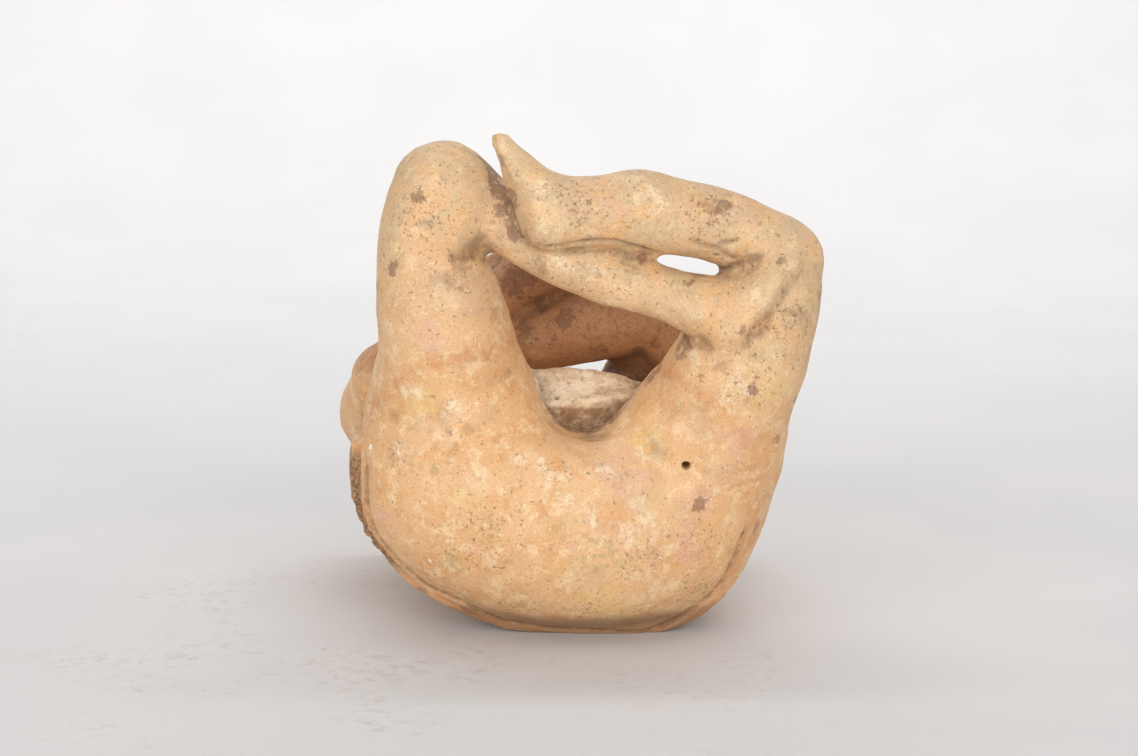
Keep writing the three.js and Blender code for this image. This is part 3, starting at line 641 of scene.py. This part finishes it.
def clay_material():
    n = Nodes("burnished_clay")
    broad = n.noise(46, 3, 0.6, 0.4)
    cloudy = n.noise(15, 5, 0.68, 0.3, 3.0)
    ragged = n.noise(6.0, 7, 0.76, 0.15, 7.0)
    gritty = n.noise(2.0, 5, 0.78, 0.3, 11.0)
    grain = n.noise(0.7, 3, 0.6, 0.0, 17.0)
    salt = n.noise(1.5, 3, 0.7, 0.4, 53.0)
    behind, lap = n.mask("behind"), n.mask("lap")
    open_side = n.math("SUBTRACT", 1.0, n.times(behind, 0.85))
    colour = n.mix(n.step(broad, 0.35, 0.65), paint("slip"), paint("light slip"))
    colour = n.mix(n.times(n.step(cloudy, 0.46, 0.66), 0.75), colour, paint("orange slip"))
    pale = n.times(n.step(n.noise(9, 6, 0.74, 0.2, 47.0), 0.51, 0.62), 0.7)
    colour = n.mix(pale, colour, paint("pale slip"))
    yellow = n.plus(n.patch("yellow", cloudy, 5.0), n.times(n.step(broad, 0.56, 0.7), 0.4))
    colour = n.mix(n.times(yellow, 0.6), colour, paint("yellow"))
    rosy = n.times(n.step(n.noise(23, 3, 0.6, 0.5, 23.0), 0.58, 0.74), 0.55)
    pink = n.plus(n.patch("pink", n.noise(8.0, 6, 0.72, 0.3, 71.0)), rosy)
    colour = n.mix(n.times(pink, 0.66), colour, paint("pink"))
    dusty = n.times(n.mask("upper"), n.step(cloudy, 0.36, 0.58))
    colour = n.mix(n.times(dusty, 0.75), colour, paint("dusty"))
    worn = n.times(n.mask("worn"), n.step(cloudy, 0.38, 0.58))
    colour = n.mix(n.times(worn, 0.65), colour, paint("worn"))
    # Painted shade on the inner faces behind the thighs
    colour = n.mix(n.times(behind, 0.8), colour, paint("shaded"))
    flecks = n.times(n.step(ragged, 0.545, 0.60), n.step(cloudy, 0.42, 0.58))
    bloom = n.plus(n.times(n.mask("bloom"), n.step(ragged, 0.45, 0.56), 0.9), n.times(flecks, 0.5))
    bloom = n.times(bloom, open_side)
    colour = n.mix(n.times(bloom, 0.72), colour, paint("bloom"))
    salted = n.times(n.step(salt, 0.58, 0.66), n.step(ragged, 0.40, 0.62), open_side)
    colour = n.mix(n.times(salted, 0.62), colour, paint("salt"))
    film = n.times(n.mask("film"), n.step(n.noise(4.6, 6, 0.75, 0.2, 31.0), 0.49, 0.57))
    film = n.plus(film, n.times(n.step(n.noise(5.2, 6, 0.75, 0.2, 37.0), 0.60, 0.66), 0.6))
    colour = n.mix(n.times(film, 0.5), colour, paint("film"))
    # Dark brown stains, and painted shade where the foot meets the knee, on the forearms and behind the
    # thighs
    stain_and_shade = n.patch("stain_and_shade", n.noise(5.0, 6, 0.72, 0.4, 67.0))
    stain_and_shade = n.plus(stain_and_shade, n.times(behind, n.step(n.noise(12, 5, 0.7, 0.8, 41.0), 0.56, 0.68), 0.8))
    blotches = n.step(n.noise(17, 5, 0.7, 0.3, 59.0), 0.57, 0.66)
    stain_and_shade = n.plus(stain_and_shade, n.times(blotches, n.math("ADD", n.times(n.mask("upper"), 0.4), 0.25)))
    colour = n.mix(n.times(stain_and_shade, 0.68), colour, paint("stain_and_shade"))
    many = n.plus(n.times(n.mask("specks"), 0.042), n.times(behind, 0.03), n.times(n.mask("upper"), 0.022))
    threshold = n.math("SUBTRACT", 0.615, many)
    speck = n.step(gritty, threshold, n.math("ADD", threshold, 0.03))
    colour = n.mix(n.times(speck, 0.7), colour, paint("speck"))
    # Painted shade in the hollow beside the forearm
    colour = n.mix(n.times(n.mask("hollow_shade"), 0.7), colour, paint("hollow shade"))
    raw = n.mix(n.step(cloudy, 0.4, 0.6), paint("raw"), paint("pale raw"))
    raw = n.mix(n.times(n.step(ragged, 0.52, 0.60), 0.7), raw, paint("brown raw"))
    layered = n.step(n.noise(7, 5, 0.7, 0.4, 61.0), 0.34, 0.6)
    raw = n.mix(n.times(n.mask("lap_low"), layered), raw, paint("lap underside"))
    raw = n.mix(n.times(n.mask("lap_rim"), n.step(ragged, 0.36, 0.56), 0.8), raw, paint("lap rim"))
    colour = n.mix(n.times(lap, 0.92), colour, raw)
    colour = n.mix(n.times(n.mask("hem"), n.step(ragged, 0.6, 0.45), 0.6), colour, paint("hem"))
    # The dark brown colour goes into the hem's groove and onto the patches along the hem as dirt, and into
    # the hollows as painted shade
    seam = n.times(n.mask("seam"), n.step(ragged, 0.36, 0.58))
    laid = n.times(n.mask("soil_and_shade"), n.step(ragged, 0.42, 0.56))
    soil_and_shade = n.plus(n.times(n.mask("cavity_shade"), n.step(ragged, 0.25, 0.6)), seam, laid)
    colour = n.mix(n.times(soil_and_shade, 0.62), colour, paint("soil_and_shade"))
    earth = n.mix(n.step(gritty, 0.46, 0.54), paint("dark earth"), paint("light earth"))
    colour = n.mix(n.times(n.mask("broken"), 0.85), colour, earth)
    # Painted shade on the lowest strip, next to the floor
    colour = n.mix(n.times(n.mask("under"), 0.6), colour, paint("shade near floor"))
    # Darkest in the crease under the shin, painted shade there, and in the cracks and pits
    deep = n.plus(n.mask("cracks"), n.mask("pits"))
    colour = n.mix(n.times(deep, 0.8), colour, paint("deep"))
    colour = n.mix(n.times(n.mask("edge"), n.step(ragged, 0.4, 0.6), 0.35), colour, paint("worn edge"))
    colour = n.mix(n.step(n.mask("white"), 0.3, 0.6), colour, paint("white"))
    shade = n.mix(n.step(grain, 0.3, 0.7), paint("grain"), paint("bright grain"))
    colour = n.mix(1.0, colour, shade, "MULTIPLY")
    dull = n.plus(n.times(bloom, 0.3), n.times(soil_and_shade, 0.5), n.times(film, 0.25), n.times(lap, 0.4))
    rough = n.math("ADD", n.math("MULTIPLY", n.step(cloudy, 0.3, 0.7), 0.12), 0.47)
    rough = n.plus(rough, n.times(dull, 0.4))
    bump = n.tree.nodes.new("ShaderNodeBump")
    bump.inputs["Strength"].default_value = 0.6
    bump.inputs["Distance"].default_value = 0.4 * MM
    height = n.math("ADD", n.times(ragged, 0.5), n.times(gritty, 0.45))
    height = n.math("SUBTRACT", height, n.times(speck, 0.6))
    height = n.math("ADD", height, n.times(bloom, 0.35))
    height = n.math("ADD", height, n.times(salted, 0.2))
    height = n.math("ADD", height, n.times(grain, 0.12))
    n.link(height, bump.inputs["Height"])
    shader = n.tree.nodes.new("ShaderNodeBsdfPrincipled")
    shader.inputs["Specular IOR Level"].default_value = 0.43
    n.link(colour, shader.inputs["Base Color"])
    n.link(rough, shader.inputs["Roughness"])
    n.link(bump.outputs["Normal"], shader.inputs["Normal"])
    output = n.tree.nodes.new("ShaderNodeOutputMaterial")
    n.link(shader.outputs["BSDF"], output.inputs["Surface"])
    return n.material


def make_stage():
    """A pale sweep: a floor that curves up into a backdrop far behind the figure."""
    bend_start, bend_radius, wall_top, half_width = 1.1, 0.9, 3.2, 8.0
    profile = [(-8.0, 0.0), (bend_start, 0.0)]
    for i in range(1, 17):
        angle = math.pi / 2 * i / 16
        profile.append((bend_start + bend_radius * math.sin(angle), bend_radius * (1 - math.cos(angle))))
    profile.append((bend_start + bend_radius, wall_top))
    vertices = [(side * half_width, y, z) for y, z in profile for side in (-1, 1)]
    faces = [(2 * i, 2 * i + 1, 2 * i + 3, 2 * i + 2) for i in range(len(profile) - 1)]
    mesh = bpy.data.meshes.new("pale_sweep")
    mesh.from_pydata(vertices, [], faces)
    mesh.shade_smooth()
    sweep = bpy.data.objects.new("pale_sweep", mesh)
    bpy.context.scene.collection.objects.link(sweep)
    n = Nodes("pale_paper")
    shader = n.tree.nodes.new("ShaderNodeBsdfPrincipled")
    shader.inputs["Roughness"].default_value = 0.85
    shader.inputs["Specular IOR Level"].default_value = 0.2
    colour = n.mix(n.step(n.noise(160, 2, 0.5), 0.3, 0.7), srgb(213, 212, 212), srgb(217, 215, 215))
    clumps = n.step(n.noise(90, 3, 0.6, 0.3, 2.0), 0.48, 0.62)
    dust = n.times(clumps, n.step(n.noise(7, 6, 0.75, 0.2, 5.0), 0.5, 0.62))
    away = n.tree.nodes.new("ShaderNodeVectorMath")
    away.operation = "DISTANCE"
    n.link(n.coordinates, away.inputs[0])
    away.inputs[1].default_value = DUST_PLACE
    dust = n.times(dust, n.step(away.outputs["Value"], 0.34, 0.12))
    colour = n.mix(n.times(dust, 0.3), colour, srgb(178, 158, 138))
    n.link(colour, shader.inputs["Base Color"])
    output = n.tree.nodes.new("ShaderNodeOutputMaterial")
    n.link(shader.outputs["BSDF"], output.inputs["Surface"])
    mesh.materials.append(n.material)


def area_light(name, place, look_at, size, watts, colour=(1, 1, 1)):
    data = bpy.data.lights.new(name, "AREA")
    data.shape = "RECTANGLE"
    data.size, data.size_y = size
    data.energy = watts
    data.color = colour
    light = bpy.data.objects.new(name, data)
    light.location = place
    light.rotation_euler = (Vector(look_at) - Vector(place)).to_track_quat("-Z", "Y").to_euler()
    bpy.context.scene.collection.objects.link(light)


def light_scene():
    middle = (0, -0.05, 0.1)
    area_light("overhead_softbox", (0.15, -0.35, 1.7), middle, (1.6, 1.3), 1.6, (1.0, 0.985, 0.96))
    area_light("front_right_softbox", (0.8, -1.8, 0.58), middle, (1.4, 1.0), 18.6, (1.0, 0.98, 0.95))
    area_light("front_left_fill", (-1.0, -1.6, 0.45), middle, (1.5, 1.0), 16.4, (0.97, 0.985, 1.0))
    area_light("backdrop_light", (0, 0.7, 2.6), (0, 2.0, 1.7), (3.5, 0.6), 70)
    world = bpy.data.worlds.new("studio")
    world.use_nodes = True
    world.node_tree.nodes["Background"].inputs["Color"].default_value = (1, 1, 1, 1)
    world.node_tree.nodes["Background"].inputs["Strength"].default_value = WORLD_STRENGTH
    bpy.context.scene.world = world
    bpy.context.scene.view_settings.view_transform = "Standard"


def pixel_finder(camera, mesh):
    """Returns a function that turns photograph pixels into places on the figure's surface."""
    places = [v.co.copy() for v in mesh.vertices]
    tree = BVHTree.FromPolygons(places, [list(p.vertices) for p in mesh.polygons])

    def pixels_at(pixels):
        found = []
        for px, py, radius in pixels:
            place = tree.ray_cast(camera.location, pixel_direction(camera, px, py))[0]
            found.append((np.array(place) if place else None, radius * MM))
        return found

    return pixels_at


def main():
    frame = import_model()
    node = frame["nodes"]["seated_figure"]
    camera = make_camera(*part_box("seated_figure"))
    figure = fine_copy(node)
    refine(figure)
    pixels_at = pixel_finder(camera, node.data)
    model_relief(figure, pixels_at)
    paint_masks(figure, pixels_at)
    figure.data.shade_smooth()
    figure.data.materials.clear()
    figure.data.materials.append(clay_material())
    figure.data.polygons.foreach_set("material_index", [0] * len(figure.data.polygons))
    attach(figure, "root")
    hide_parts("seated_figure")
    make_stage()
    light_scene()


main()
